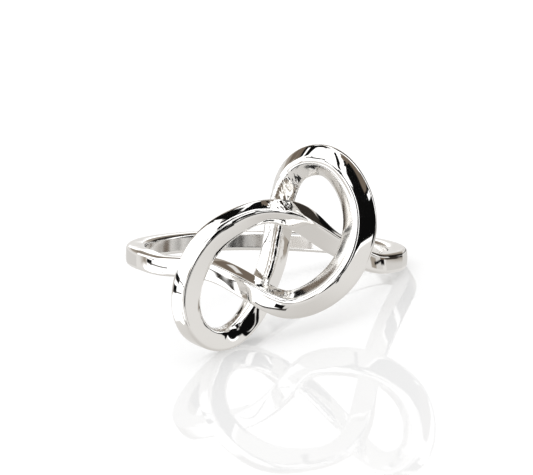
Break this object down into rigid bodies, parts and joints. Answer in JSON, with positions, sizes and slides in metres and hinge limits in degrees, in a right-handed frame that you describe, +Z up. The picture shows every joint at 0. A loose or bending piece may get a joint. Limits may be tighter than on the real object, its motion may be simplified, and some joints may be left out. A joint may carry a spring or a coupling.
{
  "type": "knot ring",
  "caption": "Polished metal finger ring of square-section wire; at the front the band opens into an interlaced knot with a standing loop and a hanging loop.",
  "frame": {"origin": "on the surface that the ring lies on, under the middle of its outline seen from above", "axes": "+Z up from that surface, -Y from the band to the knot at the front, +X to the right seen from the front"},
  "size_m": [0.0196, 0.0242, 0.0123],
  "materials": {
    "metal": "mirror polish"
  },
  "bodies": {
    "root": {"ring": "metal"}
  },
  "joints": []
}
